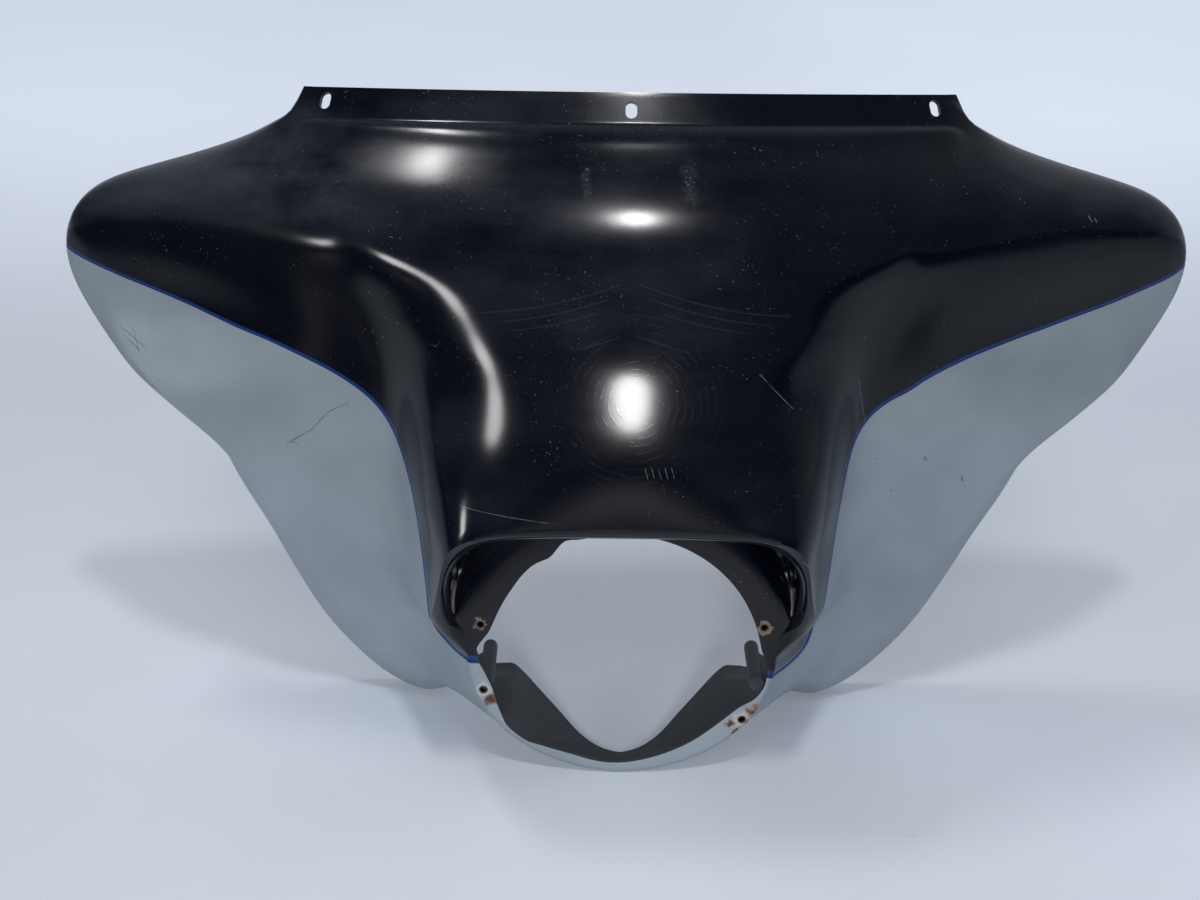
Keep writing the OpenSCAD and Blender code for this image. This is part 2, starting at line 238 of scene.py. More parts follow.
RIM_CORNER = [
    [0, [0, -66, 240]], [14, [36, -67, 240]], [24, [62, -67.5, 239.5]], [33, [89, -68, 238]],
    [39, [108, -67, 233]], [44, [120, -63, 223]], [50, [125.5, -55, 205]],
    [57, [129.5, -44, 184]], [65, [134, -29, 162.5]], [73, [138, -12, 142]], [79, [137, 2, 127]],
    [84, [131, 10, 114]], [88, [122, 12.5, 104]], [92, [115.5, 13, 96]],
]
RIM_INNER = [
    [0, [0, -52, 229]], [20, [47, -52, 229]], [31, [79, -50, 226]], [38, [97, -48, 220]],
    [45, [111, -44, 208]], [51, [119, -38, 193]], [58, [122, -30, 177]], [67, [124, -16, 153]],
    [75, [124, -2, 134]], [81, [121, 5, 121]], [86, [115.5, 8, 109]], [92, [111, 8, 97]],
]
OUTLINE = [
    [32.5, [238, 112, 476]], [38, [270, 118, 458]], [44, [310, 122, 443]], [49, [353, 124, 430]],
    [52.5, [380, 124, 420]], [55.5, [398, 124, 406]], [58, [407, 124, 389]],
    [60.5, [410, 124, 372]], [63.5, [408, 124, 352]], [67, [400, 124, 330]],
    [70.5, [388, 124, 309]], [73.5, [372, 124, 293]], [76.5, [353, 124, 278]],
    [79.5, [330, 124, 262]], [82.5, [310.5, 124, 242.5]], [86, [299, 124, 212]],
    [93, [276, 124, 162]], [99, [261, 124, 122]], [105.5, [242, 124, 79]], [111, [222, 124, 48]],
    [117, [192, 124, 16]], [121, [167, 124, 1.5]], [124, [150, 124, 0]],
]
CHIN_BACK = [[126.5, 100], [134, 97], [142, 86], [152, 67], [162, 43], [171, 29], [180, 23]]
OPEN_RIGHT = [
    [0, 0], [60, 0], [87, 3], [92, 7], [100, 9.5], [105, 9], [110, 6], [116, -1.5], [127, -7],
    [139, -9.5], [160, -11], [180, -10],
]
OPEN_LEFT = [
    [0, 0], [18, 1], [24, 4], [29, 0], [33, -3], [40, -1], [46, -1], [56, -2.5], [68, -2.5],
    [79, -0.5], [86, 6], [91, 9], [96, 4.5], [105, 0.5], [113, 1.5], [121, 3.5], [129, 6],
    [134, 5], [141, -1.5], [155, -8], [170, -9], [180, -10],
]
TURN_W = [[32.5, 18], [44, 26], [56, 34], [62, 40], [72, 38], [90, 30], [110, 24], [124, 12]]
HOLLOW_AT = [
    [0, 0.4], [22, 0.4], [30, 0.44], [36, 0.36], [41, 0.26], [46, 0.18], [52, 0.14], [60, 0.125],
    [72, 0.125], [80, 0.16], [88, 0.27],
]
HOLLOW_X = [[20, 150], [60, 158], [120, 168], [142, 166], [235, 160], [330, 153], [520, 153]]
# Name, angle and radius from the middle of the lamp opening.
INSERTS = [
    ("upper_right", 76.5, 107.0), ("upper_left", -76.5, 107.0), ("lower_right", 120.5, 105.5),
    ("lower_left", -106.5, 107.0),
]
POSTS = [("right", 103.5, 103.5), ("left", -104.5, 103.5)]  # name, angle and radius, as above
SLOTS = [(-212, 10), (212, 10), (0, 12.5)]  # x and distance down from the flange's top
SLOT_R, SLOT_HALF, SLOT_DEPTH = 4, 2, 9
PIT_R, PIT_END, BORE_R, BORE_END = 0.0033, 0.01, 0.0023, 0.014  # behind an insert, in metres
BOSS_R, BOSS_START, BOSS_END, BOSS_BEVEL = 0.0053, 0.0012, 0.0195, 0.0006
POST_R, POST_END, WEB_HALF = 0.0055, 0.058, 2.5
EDGE_CREASE, RIM_CREASE, STEP_CREASE = 0.75, 0.35, 0.7


def curve(knots, a):
    """Smooth curve through knots [position, value]; the value is a number or a point."""
    if a <= knots[0][0]:
        return np.array(knots[0][1], float)
    if a >= knots[-1][0]:
        return np.array(knots[-1][1], float)
    i = max(k for k in range(len(knots) - 1) if knots[k][0] <= a)

    def value(k):
        return np.array(knots[k][1], float)

    def tangent(k):
        p, q = max(k - 1, 0), min(k + 1, len(knots) - 1)
        return (value(q) - value(p)) / (knots[q][0] - knots[p][0])

    h = knots[i + 1][0] - knots[i][0]
    t = (a - knots[i][0]) / h
    return (
        value(i) * (2 * t**3 - 3 * t**2 + 1)
        + tangent(i) * h * (t**3 - 2 * t**2 + t)
        + value(i + 1) * (3 * t**2 - 2 * t**3)
        + tangent(i + 1) * h * (t**3 - t**2)
    )


def soft_max(a, b, k):
    return max(a, b) + max(k - abs(a - b), 0) ** 2 / (4 * k)


def soft_min(a, b, k):
    return min(a, b) - max(k - abs(a - b), 0) ** 2 / (4 * k)


def hood(x, z):
    past = x - BOW_END
    bow = x * x / 10000 if past < 0 else 4.84 + 0.044 * past - past**2 * 0.00007
    return curve(HOOD_LINE, z) + curve(HOOD_BOW, z) * bow


def nose(x, z):
    """The hood, rounder towards the corners of the nose."""
    return hood(x, z) + curve(NOSE_ROUND, z) * 1e-8 * min(abs(x), NOSE_X) ** 4


def flank(x, z):
    half = curve(NOSE_HALF, z)
    base = curve(CORNER_Y, z) if z < CORNER_Y[-1][0] else hood(half, z)
    return base + curve(FLANK_SLOPE, z) * (x - half)


def face(x, z):
    """Depth of the outside at (x, z) of the front view: hood, flank and wing in one."""
    away = x - WING_MID
    wing = curve(WING_LINE, z) + WING_SLOPE * away + WING_BEND * away * abs(away)
    out = min(1, max(0, (x - RIDGE_START) / (RIDGE_END - RIDGE_START)))
    turn = mix(curve(NOSE_TURN, z), curve(RIDGE_TURN, x), out * out * (3 - 2 * out))
    return soft_max(nose(x, z), soft_min(flank(x, z), wing, VALLEY_TURN), turn)


def polar(r, a, y):
    """Point at a radius and an angle round the middle of the lamp opening."""
    return np.array([r * math.sin(math.radians(a)), y, LAMP_Z + r * math.cos(math.radians(a))])


def mix(p, q, t):
    return p * (1 - t) + q * t


def chin_r(a):
    return 115.3 - 15.3 * math.cos(math.radians(a)) ** 2


def chin_y(a):
    return SEAT_Y * (180 - a) / 88


def flange_top(x):
    return np.array([x, 76 + FLANGE_BOW * x * x, TOP_Z - 0.00017 * x * x])


FLANGE_DIR = np.array([0, math.sin(math.radians(FLANGE_TILT)), math.cos(math.radians(FLANGE_TILT))])


def edge_out(a):
    if a <= ON_FLANGE:
        return flange_top(FLANGE_X * a / FLANGE_END)
    return curve(OUTLINE, a) if a <= ON_WING else polar(chin_r(a), a, curve(CHIN_BACK, a))


def edge_in(a):
    """Where the flange starts, or the turn of the outer edge."""
    if a <= ON_FLANGE:
        return flange_top(FLANGE_X * a / FLANGE_END) - FLANGE_H * FLANGE_DIR
    o, c = edge_out(a), curve(RIM_CORNER, min(a, ON_RIM))
    d = (o - c) * np.array([1, 0, 1])
    return o - d / np.linalg.norm(d) * curve(TURN_W, a)


def step_edge(a):
    """Front edge of the step between the hood and the screen flange."""
    return edge_in(a) - np.array([0, STEP_D, STEP_H]) * (1 - 0.4 * (a / FLANGE_END) ** 2)


def corner(a):
    return curve(RIM_CORNER, a) if a <= ON_RIM else polar(chin_r(a), a, chin_y(a) + LIP_R)


def seat_part(a, side):
    """Stations from the edge of the lamp opening to the front corner of the rim."""
    opening = OPENING_R + curve(OPEN_RIGHT if side > 0 else OPEN_LEFT, a)
    if a > ON_RIM:
        y0, re = chin_y(a), chin_r(a) - LIP_R
        r0 = min(opening, re - 1)
        turn = [math.radians(u) for u in (22.5, 45, 67.5, 80)]
        return [polar(mix(r0, re, t), a, y0) for t in (0, 0.25, 0.5, 0.75, 1)] + [
            polar(re + LIP_R * math.sin(u), a, y0 + LIP_R * (1 - math.cos(u))) for u in turn
        ]
    inner, c = curve(RIM_INNER, a), corner(a)
    rl = math.hypot(inner[0], inner[2] - LAMP_Z)
    la = math.degrees(math.atan2(inner[0], inner[2] - LAMP_Z))
    dp = POCKET_DEPTH * max(0, min(1, (rl - SEAT_R) / POCKET_RUN))
    front = min(inner[1], SEAT_Y)
    step = SEAT_Y + dp - front
    wl = max(0.5, min(2.5 + 1.2 * step, 6 - 0.8 * step))
    rp = rl - wl
    rs = min(SEAT_R, rp + 1) - 2
    r0 = min(opening, rs - 2)
    lip = np.array([inner[0], front, inner[2]])
    return [
        polar(r0, a, SEAT_Y),
        polar(mix(r0, rs, 0.6), mix(a, la, 0.6), SEAT_Y),
        polar(rs, la, SEAT_Y + 0.04 * dp),
        polar(min(rs + 3.5, mix(rs, rp, 0.4)), la, SEAT_Y + 0.45 * dp),
        polar(min(rs + 6, mix(rs, rp, 0.75)), la, SEAT_Y + 0.9 * dp),
        polar(rp, la, SEAT_Y + dp),
        polar(rl - wl * 0.4 + 0.2, la, mix(front, SEAT_Y + dp, 0.45)),
        lip,
        mix(lip, c, 0.5) - np.array([0, min(2.5, np.linalg.norm(c - inner) * 0.2), 0]),
    ]


def outer_part(a):
    """Stations from the corner of the rim out over the hood or wing to the outer edge."""
    on_flange = a < ON_FLANGE
    c, k, e = corner(a), edge_in(a), edge_out(a)
    m = step_edge(a) if on_flange else k
    count = N_MID + N_FAR + N_TURN + 1
    if a > ON_WING:
        return [mix(c, e, j / count) for j in range(count + 1)]
    if a < BESIDE_LAMP:
        f = curve(HOLLOW_AT, a)
    else:
        f = max(0.1, min(0.6, (curve(HOLLOW_X, c[2] + 20) - c[0]) / (m[0] - c[0])))
    off_c = c[1] - face(c[0], c[2])
    off_m = m[1] - face(m[0], m[2]) if on_flange else 0
    off_e = 0 if on_flange else e[1] - face(e[0], e[2])
    points = []
    for j in range(N_MID + N_FAR):
        far = (j - N_MID) / N_FAR
        if on_flange:
            far = 1 - (1 - far) ** 1.25
        s = f * j / N_MID if j <= N_MID else f + (1 - f) * far
        x, z = mix(c[0], m[0], s), mix(c[2], m[2], s)
        dip = 1.3 * math.exp(-(((m[2] - z - 8) / 4) ** 2)) if on_flange else 0
        y = face(x, z) + off_c * max(0, 1 - s / f) ** 2 + off_m * s**4 + dip
        points.append(np.array([x, y, z]))
    for j in range(N_TURN + 2):
        if on_flange:
            if j < N_STEP:
                bulge = 0.8 * math.sin(math.pi * j / N_STEP)
                points.append(mix(m, k, j / N_STEP) + np.array([0, -bulge, bulge]))
            else:
                points.append(mix(k, e, (j - N_STEP) / (N_TURN + 1 - N_STEP)))
            continue
        u = math.radians(min(j, N_TURN) / N_TURN * 90)
        x, z = mix(m[0], e[0], math.sin(u)), mix(m[2], e[2], math.sin(u))
        y = face(x, z) + off_e * (1 - math.cos(u)) + (TURN_BACK if j > N_TURN else 0)
        points.append(np.array([x, y, z]))
    return points


def shell_grid(sizes):
    """Outer and inner surface of the shell as grids [ray, station, xyz] in metres."""
    flange, wing = (0, FLANGE_END, N_FLANGE), (WING_START, WING_END, N_WING)
    rays = [
        first + (last - first) * i / (count - 1)
        for first, last, count in (flange, wing, (CHIN_START, 180, N_CHIN))
        for i in range(count)
    ]
    half = len(rays) - 1
    order = [i if i <= half else 2 * half - i for i in range(2 * half)]
    grid = []
    for i, h in enumerate(order):
        side = 1 if i <= half else -1
        points = seat_part(rays[h], side) + outer_part(rays[h])
        grid.append([p * np.array([side, 1, 1]) for p in points])
    g = np.array(grid)
    kx = (sizes.width * 500 - FIXED_X) / (TIP_X - FIXED_X)
    ky = (sizes.depth * 1000 - (FIXED_Y - FRONT_Y)) / (BACK_Y - FIXED_Y)
    kz = (sizes.height * 1000 - FIXED_Z) / (TOP_Z - FIXED_Z)
    x, y, z = g[..., 0], g[..., 1], g[..., 2]
    g = np.stack(
        [
            np.where(abs(x) < FIXED_X, x, np.sign(x) * (FIXED_X + (abs(x) - FIXED_X) * kx)),
            np.where(y < FIXED_Y, y, FIXED_Y + (y - FIXED_Y) * ky),
            np.where(z < FIXED_Z, z, FIXED_Z + (z - FIXED_Z) * kz),
        ],
        -1,
    )

    # The face, but not its rim, step and edge, is evened out over four rounds.
    free = np.zeros(g.shape[:2], bool)
    for i, h in enumerate(order):
        if h < N_FLANGE + N_WING:
            free[i, N_IN + 1 : N_IN + N_MID + N_FAR + (0 if h <= N_FLANGE else 3)] = True
    for _ in range(4):
        moved = g.copy()
        moved[:, 1:-1] = g[:, 1:-1] * 0.4 + 0.15 * (
            np.roll(g, 1, 0)[:, 1:-1] + np.roll(g, -1, 0)[:, 1:-1] + g[:, :-2] + g[:, 2:]
        )
        g = np.where(free[..., None], moved, g)

    def unit(v):
        return v / np.maximum(np.linalg.norm(v, axis=-1, keepdims=True), 1e-9)

    along = unit(np.roll(g, -1, 0) - g) + unit(g - np.roll(g, 1, 0))
    step = unit(np.diff(g, axis=1))
    out = np.zeros_like(g)
    out[:, :-1] += step
    out[:, 1:] += step
    inner = g + sizes.wall * 1000 * unit(np.cross(out, along))
    shift = np.array([0, MID_Y, 0])
    return (g - shift) / 1000, (inner - shift) / 1000


# ---- Small helpers ----


def new_object(name, data):
    piece = bpy.data.objects.new(name, data)
    bpy.context.scene.collection.objects.link(piece)
    return piece


def place(v):
    """A point of the part's layout in the frame, in metres."""
    return Vector((v[0] / 1000, (v[1] - MID_Y) / 1000, v[2] / 1000))


def tube_mesh(name, profile):
    """Mesh turned round the Y axis from [radius, y] pairs; a radius of zero closes an end."""
    segments = 48
    verts, faces, rings = [], [], []
    for r, y in profile:
        if r == 0:
            rings.append([len(verts)])
            verts.append((0, y, 0))
            continue
        rings.append(list(range(len(verts), len(verts) + segments)))
        for k in range(segments):
            u = 2 * math.pi * k / segments
            verts.append((r * math.cos(u), y, r * math.sin(u)))
    for p, q in zip(rings, rings[1:]):
        for k in range(segments):
            n = (k + 1) % segments
            if len(p) == 1:
                faces.append((p[0], q[k], q[n]))
            elif len(q) == 1:
                faces.append((p[n], p[k], q[0]))
            else:
                faces.append((p[k], q[k], q[n], p[n]))
    mesh = bpy.data.meshes.new(name)
    mesh.from_pydata(verts, [], faces)
    mesh.validate()
    return mesh


def prism_mesh(name, verts):
    """Mesh of a loop of points and the same loop moved, one after the other in verts."""
    n = len(verts) // 2
    faces = [tuple(range(n)), tuple(range(2 * n - 1, n - 1, -1))]
    faces += [(k, k + n, (k + 1) % n + n, (k + 1) % n) for k in range(n)]
    mesh = bpy.data.meshes.new(name)
    mesh.from_pydata(verts, [], faces)
    return mesh


def applied(piece):
    """Replaces a piece's mesh by its mesh with the modifiers applied."""
    graph = bpy.context.evaluated_depsgraph_get()
    mesh = bpy.data.meshes.new_from_object(piece.evaluated_get(graph))
    piece.modifiers.clear()
    old = piece.data
    piece.data = mesh
    bpy.data.meshes.remove(old)


def nearest(points, line):
    """Signed distance of 2-D points from a polyline; the sign is positive on its right."""
    a, b = line[:-1], line[1:]
    d = b - a
    best = np.full(len(points), 1e9)
    sign = np.ones(len(points))
    for p, v in zip(a, d):
        w = points - p
        t = np.clip((w @ v) / (v @ v), 0, 1)
        off = w - t[:, None] * v
        dist = np.linalg.norm(off, axis=1)
        side = v[0] * w[:, 1] - v[1] * w[:, 0]
        closer = dist < best - 1e-9
        best = np.where(closer, dist, best)
        sign = np.where(closer, np.where(side < 0, 1.0, -1.0), sign)
    return best * sign


# ---- Materials ----


class Nodes:
    """Short way to lay out the nodes of a material or of the world."""

    def __init__(self, owner, output="ShaderNodeOutputMaterial"):
        owner.use_nodes = True
        self.tree = owner.node_tree
        self.tree.nodes.clear()
        self.out = self.add(output)
        self.coord = self.add("ShaderNodeTexCoord").outputs["Object"]

    def add(self, kind, **values):
        node = self.tree.nodes.new(kind)
        for key, value in values.items():
            setattr(node, key, value)
        return node

    def link(self, source, target):
        self.tree.links.new(source, target)

    def put(self, socket, value):
        if isinstance(value, bpy.types.NodeSocket):
            self.link(value, socket)
        else:
            socket.default_value = value

    def axes(self, vector):
        """The X, Y and Z of a vector."""
        node = self.add("ShaderNodeSeparateXYZ")
        self.link(vector, node.inputs[0])
        return node.outputs

    def math(self, kind, a, b=0.0, clamp=False):
        node = self.add("ShaderNodeMath", operation=kind, use_clamp=clamp)
        self.put(node.inputs[0], a)
        self.put(node.inputs[1], b)
        return node.outputs[0]

    def plus(self, a, b):
        return self.math("ADD", a, b)

    def times(self, *values):
        total = values[0]
        for value in values[1:]:
            total = self.math("MULTIPLY", total, value)
        return total

    def ramp(self, value, low, high, to_low=0.0, to_high=1.0):
        """Smooth change from to_low to to_high as value goes from low to high."""
        node = self.add("ShaderNodeMapRange", interpolation_type="SMOOTHSTEP")
        self.put(node.inputs["Value"], value)
        ends = {"From Min": low, "From Max": high, "To Min": to_low, "To Max": to_high}
        for key, number in ends.items():
            node.inputs[key].default_value = number
        return node.outputs["Result"]

    def noise(self, scale, detail=4.0, roughness=0.55, stretch=None, turn=(0, 0, 0)):
        node = self.add("ShaderNodeTexNoise")
        node.inputs["Scale"].default_value = scale
        node.inputs["Detail"].default_value = detail
        node.inputs["Roughness"].default_value = roughness
        source = self.coord
        if stretch:
            mapping = self.add("ShaderNodeMapping")
            mapping.inputs["Scale"].default_value = stretch
            mapping.inputs["Rotation"].default_value = turn
            self.link(source, mapping.inputs["Vector"])
            source = mapping.outputs["Vector"]
        self.link(source, node.inputs["Vector"])
        return node.outputs["Fac"]

    def attribute(self, name):
        return self.add("ShaderNodeAttribute", attribute_name=name).outputs["Fac"]

    def blend(self, factor, a, b):
        node = self.add("ShaderNodeMix", data_type="RGBA")
        self.put(node.inputs["Factor"], factor)
        for socket, value in ((node.inputs["A"], a), (node.inputs["B"], b)):
            if isinstance(value, bpy.types.NodeSocket):
                self.link(value, socket)
            else:
                socket.default_value = (*value, 1.0)
        return next(o for o in node.outputs if o.type == "RGBA")

    def distance(self, point):
        """Distance from a point of the frame, in metres."""
        node = self.add("ShaderNodeVectorMath", operation="DISTANCE")
        self.link(self.coord, node.inputs[0])
        node.inputs[1].default_value = point
        return node.outputs["Value"]

    def flat_distance(self, start, end=None):
        """Distance in the front view from a place [x, z] in millimetres, or from a line to end."""
        flat = self.add("ShaderNodeVectorMath", operation="MULTIPLY")
        self.link(self.coord, flat.inputs[0])
        flat.inputs[1].default_value = (1, 0, 1)
        a = Vector((start[0] / 1000, 0, start[1] / 1000))
        away = self.add("ShaderNodeVectorMath", operation="SUBTRACT")
        self.link(flat.outputs["Vector"], away.inputs[0])
        away.inputs[1].default_value = a
        if end is None:
            length = self.add("ShaderNodeVectorMath", operation="LENGTH")
            self.link(away.outputs["Vector"], length.inputs[0])
            return length.outputs["Value"]
        run = Vector((end[0] / 1000, 0, end[1] / 1000)) - a
        along = self.add("ShaderNodeVectorMath", operation="DOT_PRODUCT")
        self.link(away.outputs["Vector"], along.inputs[0])
        along.inputs[1].default_value = run / run.length_squared
        part = self.math("ADD", along.outputs["Value"], 0.0, clamp=True)
        reach = self.add("ShaderNodeVectorMath", operation="SCALE")
        reach.inputs[0].default_value = run
        self.link(part, reach.inputs["Scale"])
        gap = self.add("ShaderNodeVectorMath", operation="DISTANCE")
        self.link(away.outputs["Vector"], gap.inputs[0])
        self.link(reach.outputs["Vector"], gap.inputs[1])
        return gap.outputs["Value"]

    def either(self, masks):
        """The strongest of several masks."""
        total = masks[0]
        for mask in masks[1:]:
            total = self.math("MAXIMUM", total, mask)
        return total

    def lines(self, marks):
        """Mask of thin lines: each has a start, an end and a width in millimetres."""
        return self.either([
            self.ramp(self.flat_distance(start, end), width * 0.3e-3, width * 0.8e-3, 1.0, 0.0)
            for start, end, width in marks
        ])

    def shader(self, **values):
        """Principled shader; an underscore stands for the space in an input's name."""
        node = self.add("ShaderNodeBsdfPrincipled")
        for key, value in values.items():
            socket = node.inputs[key.replace("_", " ")]
            if isinstance(value, tuple) and len(value) == 3 and socket.type == "RGBA":
                value = (*value, 1.0)
            self.put(socket, value)
        self.link(node.outputs["BSDF"], self.out.inputs["Surface"])

    def bump(self, height, strength, distance):
        node = self.add("ShaderNodeBump")
        node.inputs["Strength"].default_value = strength
        node.inputs["Distance"].default_value = distance
        self.link(height, node.inputs["Height"])
        return node.outputs["Normal"]


# Rust beside the inserts: offset x and z and spread in metres, 1 for orange or 0 for brown.
STAINS = {
    "lower_right": [(0.0085, 0.0075, 0.008, 1), (-0.0085, -0.0035, 0.0055, 1),
                    (-0.0035, -0.009, 0.003, 0)],
    "lower_left": [(0.006, -0.008, 0.0075, 0), (0.0075, 0.004, 0.003, 0)],
}
# Radius in metres of the bare ring in the paint round each insert.
BARE_RINGS = {
    "upper_right": 0.0052, "upper_left": 0.0048, "lower_right": 0.0072, "lower_left": 0.0062,
}

# Marks in the front view: start [x, z], end [x, z] and width, in millimetres.
SCRATCHES = [
    ((86, 344), (110, 317), 0.45), ((159, 322), (180, 234), 0.35),
    ((-112, 256), (-49, 248), 0.4), ((120, 217), (124, 213), 0.7), ((322, 418), (325, 414), 0.8),
    ((327, 416), (329, 413), 0.7),
]
SCRATCHES += [((11 + 4.4 * k, 288), (13 + 4.4 * k, 281), 0.45) for k in range(5)]
RUBS = [
    ((-245, 248), (-226, 262), 0.9), ((-226, 262), (-212, 279), 0.6),
    ((-212, 279), (-197, 288), 0.8), ((-243, 250), (-238, 249), 1.2),
    ((217, 246), (218.5, 243.5), 1.4), ((248, 224.5), (249.5, 221.5), 1.4),
    ((-371, 318), (-352, 306), 0.6), ((-368, 312), (-356, 303), 0.8),
    ((-361, 318), (-357, 304), 0.5),
]
SCUFFS = [((-30, 459), (-29, 449), 5), ((38, 461), (40, 447), 6.5)]

GLINT_MIDDLE = (4, 329)  # middle of the rings of painted glint round the nose highlight, x and z in millimetres
# Pinstripe lines: height where the line meets the middle, and the x it runs between, in metres.
PINS = [(0.402, 0.004, 0.118), (0.396, 0.012, 0.104), (0.39, 0.02, 0.09), (0.372, 0.004, 0.05)]


def insert_point(angle, radius):
    return place(polar(radius, angle, SEAT_Y if abs(angle) < ON_RIM else chin_y(abs(angle))))


def wear_masks(n, at, silver):
    """Masks of the paint's wear, each from 0 to 1 and each where it is on the object."""
    up = n.ramp(n.axes(n.add("ShaderNodeNewGeometry").outputs["Normal"])["Z"], 0.02, 0.6)
    hand = n.times(n.ramp(at["X"], 0.05, 0.11), n.ramp(at["X"], 0.2, 0.3, 1.0, 0.0), 0.75)
    streak = n.noise(16, 4, 0.6, stretch=(0.4, 1.0, 2.2), turn=(0, -0.4, 0))
    cloud = n.plus(n.times(n.noise(9, 6, 0.6), 0.6), n.times(streak, 0.4))
    haze = n.times(n.ramp(cloud, 0.38, 0.66), n.plus(n.times(up, 0.95), 0.05))
    # The haze is up to 2.1 times as strong out on the left wing, and 0.9 times as strong elsewhere.
    haze = n.times(haze, n.math("SUBTRACT", 1.0, hand), n.ramp(at["X"], -0.22, -0.15, 2.1, 0.9))
    speck = n.times(n.ramp(n.noise(560, 2, 0.6), 0.685, 0.72), n.ramp(n.noise(24, 3), 0.46, 0.62))

    # Hairlines in two directions.
    swirl = n.noise(60, 5, 0.7, stretch=(1.0, 1.0, 7.0), turn=(0.2, 0.4, 0.9))
    fine = n.noise(70, 5, 0.7, stretch=(9.0, 1.0, 1.0), turn=(0.5, 0.1, -0.5))
    hair = n.either([
        n.times(n.ramp(swirl, 0.66, 0.69), n.ramp(n.noise(12, 3), 0.5, 0.62)),
        n.times(n.ramp(fine, 0.67, 0.7), n.ramp(n.noise(15, 3), 0.52, 0.64)),
    ])

    worn = n.ramp(n.noise(180, 3, 0.6), 0.36, 0.52)
    cut = n.times(n.lines(SCRATCHES), n.plus(n.times(worn, 0.75), 0.25))
    dark = n.times(n.lines(RUBS), silver, n.plus(n.times(worn, 0.7), 0.3))
    grime = n.ramp(n.noise(330, 3, 0.6), 0.68, 0.72)
    grime = n.times(grime, silver, n.ramp(n.noise(11, 3), 0.5, 0.66))
    ragged = n.times(n.math("SUBTRACT", n.noise(150, 4, 0.7), 0.5), 0.016)
    scuff = n.either([
        n.ramp(n.plus(n.flat_distance(start, end), ragged), 0, width * 1e-3, 1.0, 0.0)
        for start, end, width in SCUFFS
    ])
    spots = n.ramp(n.noise(480, 3, 0.75, stretch=(1.0, 1.0, 0.8)), 0.58, 0.66)
    return {
        "haze": haze, "speck": speck, "hair": hair, "cut": cut,
        "dark": n.either([dark, grime]), "scuff": n.times(scuff, n.plus(spots, 0.1)),
    }


def swirl_rings_painted_glint(n):
    """Polishing swirls round the front of the nose, drawn as fine rings about the nose highlight:
    their lighter colour there is a painted glint.
    """
    shift = n.add("ShaderNodeMapping")
    shift.inputs["Location"].default_value = (-GLINT_MIDDLE[0] / 1000, 0.083, -GLINT_MIDDLE[1] / 1000)
    n.link(n.coord, shift.inputs["Vector"])
    wave = n.add("ShaderNodeTexWave", wave_type="RINGS", rings_direction="SPHERICAL")
    n.link(shift.outputs["Vector"], wave.inputs["Vector"])
    wave.inputs["Scale"].default_value = 62
    wave.inputs["Distortion"].default_value = 2.2
    wave.inputs["Detail Scale"].default_value = 1.2
    reach = n.ramp(n.flat_distance(GLINT_MIDDLE), 0.03, 0.075, 1.0, 0.0)
    rings = n.times(n.ramp(wave.outputs["Fac"], 0.9, 0.99), reach)
    return n.times(rings, n.ramp(n.noise(55, 3, 0.6), 0.46, 0.6))


def pinstripe(n, at):
    """A plain pinstripe of nested arrow lines, tone on tone, above the nose."""
    side = n.math("ABSOLUTE", at["X"])
    drop = n.plus(at["Z"], n.times(side, 0.34))
    drop = n.math("SUBTRACT", drop, n.times(side, side, 1.1))
    pins = []
    for level, low, high in PINS:
        line = n.ramp(n.math("ABSOLUTE", n.math("SUBTRACT", drop, level)), 0.0002, 0.0007, 1.0, 0.0)
        ends = n.ramp(side, low, low + 0.004), n.ramp(side, high - 0.03, high, 1.0, 0.0)
        pins.append(n.times(line, *ends))
    return n.either(pins)


